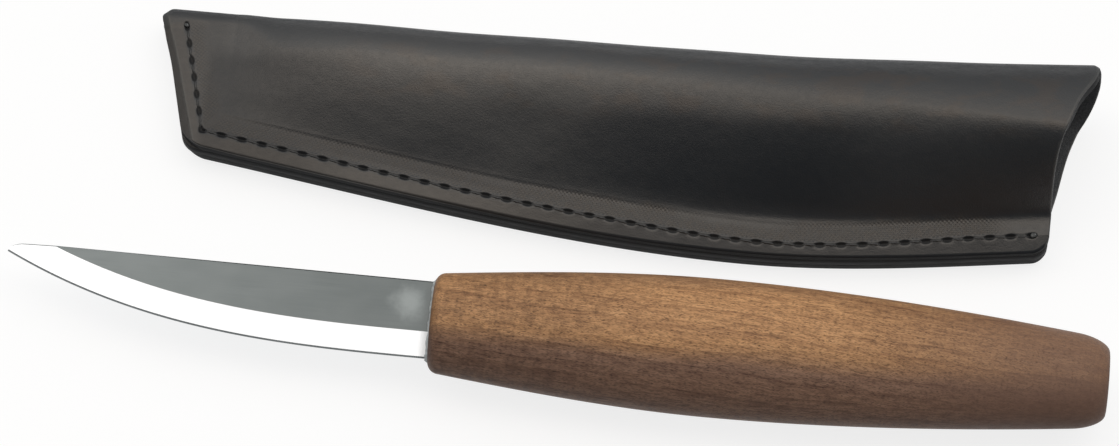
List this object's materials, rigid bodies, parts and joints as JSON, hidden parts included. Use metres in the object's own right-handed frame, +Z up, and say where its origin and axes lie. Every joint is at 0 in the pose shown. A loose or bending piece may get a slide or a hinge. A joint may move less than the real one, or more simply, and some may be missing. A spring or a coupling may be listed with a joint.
{
  "type": "sloyd knife with sheath",
  "caption": "Fixed-blade carving knife with a barrel-shaped walnut handle on a glued stick tang, lying beside its folded, welted and lock-stitched leather sheath.",
  "frame": {"origin": "on the table, under the middle of the knife and sheath lying side by side", "axes": "+X along the knife from the blade's point to the butt, +Y from the knife to the sheath, +Z up"},
  "size_m": [0.205, 0.0752, 0.0229],
  "materials": {
    "steel": "satin flats with polished bevels",
    "walnut": "oiled",
    "epoxy": "cured, wood-dust filled",
    "leather": "black, satin",
    "welt_leather": "black, burnished edge",
    "cement": "dried film",
    "thread": "black waxed thread"
  },
  "bodies": {
    "knife": {"blade": "steel", "handle": "walnut", "tang_epoxy": "epoxy"},
    "sheath": {"sheath_leather": "leather", "sheath_welt": "welt_leather", "front_cement": "cement", "back_cement": "cement", "needle_thread": "thread", "bobbin_thread": "thread"}
  },
  "joints": [
    {"name": "sheath_slide", "type": "slide", "parent": "knife", "child": "sheath", "axis": [-1, 0, 0], "range_m": [0, 0.205]}
  ]
}
